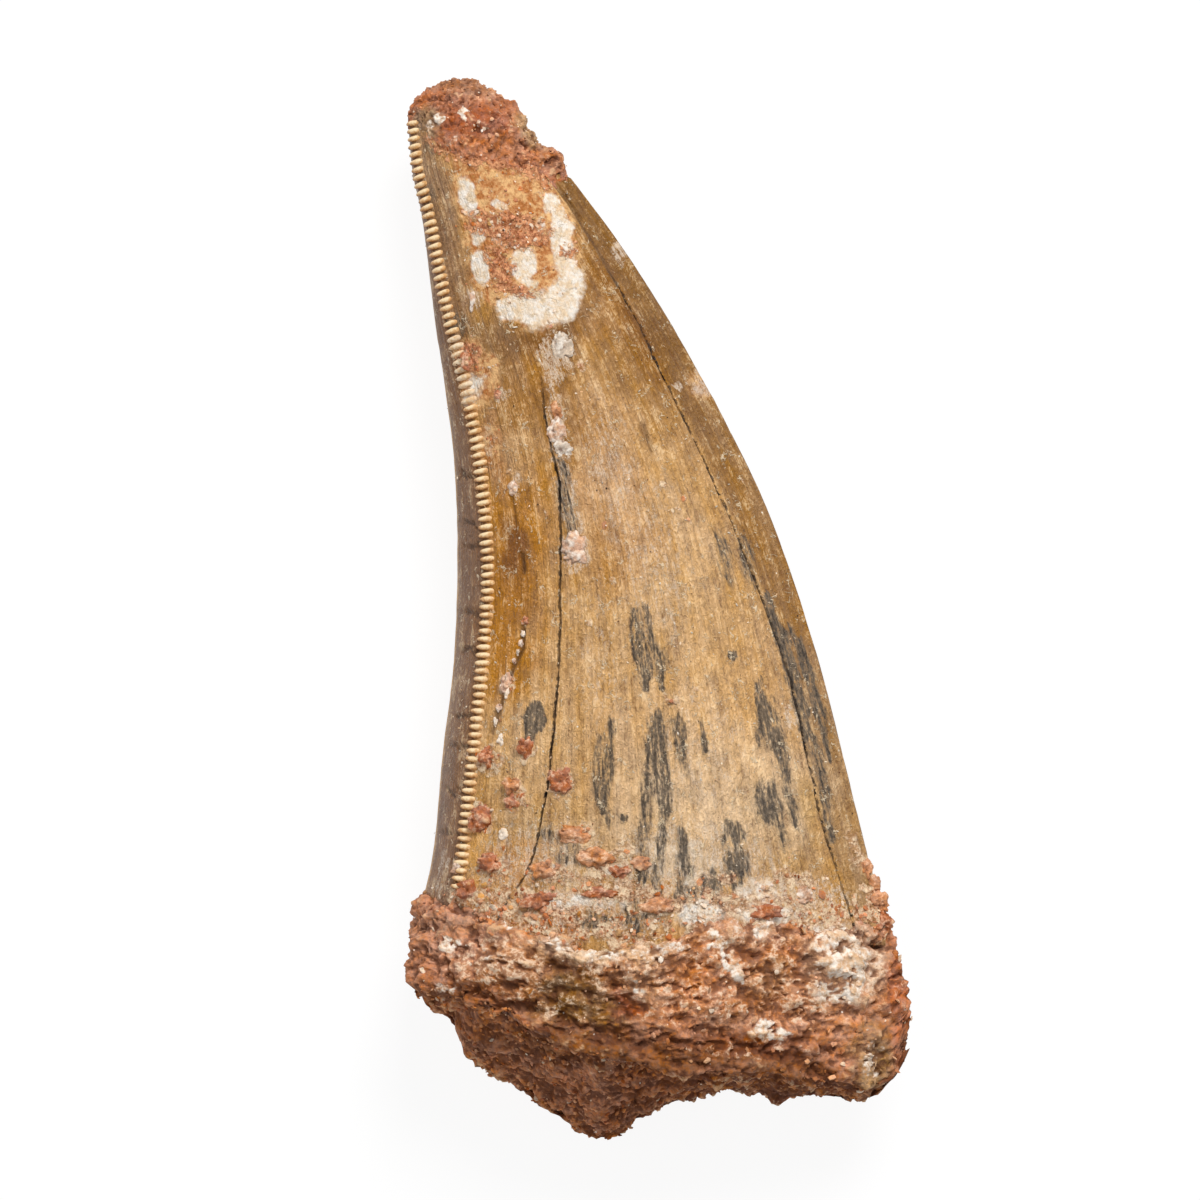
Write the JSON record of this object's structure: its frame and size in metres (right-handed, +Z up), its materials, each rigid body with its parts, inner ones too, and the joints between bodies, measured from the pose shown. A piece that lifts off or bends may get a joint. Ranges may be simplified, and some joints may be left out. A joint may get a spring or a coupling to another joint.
{
  "type": "fossil tooth",
  "caption": "Curved, flattened carcharodontosaurus tooth with a saw edge, sandstone on its broken root and worn tip, lying on its side.",
  "frame": {"origin": "on the surface that the tooth lies on, under the middle of its outline", "axes": "+Y from the broken root to the tip, +X from the saw edge to the leading edge, +Z up out of the face that shows"},
  "size_m": [0.0342, 0.0724, 0.0157],
  "materials": {
    "enamel": "fossil enamel, satin, amber and tan with grey streaks",
    "sandstone": "rust-red sandstone, rough and pitted, with cream patches",
    "crust": "rust-red sandstone cap, rough and granular"
  },
  "bodies": {
    "root": {"tooth": "enamel", "base_matrix": "sandstone", "tip_crust": "crust"}
  },
  "joints": []
}
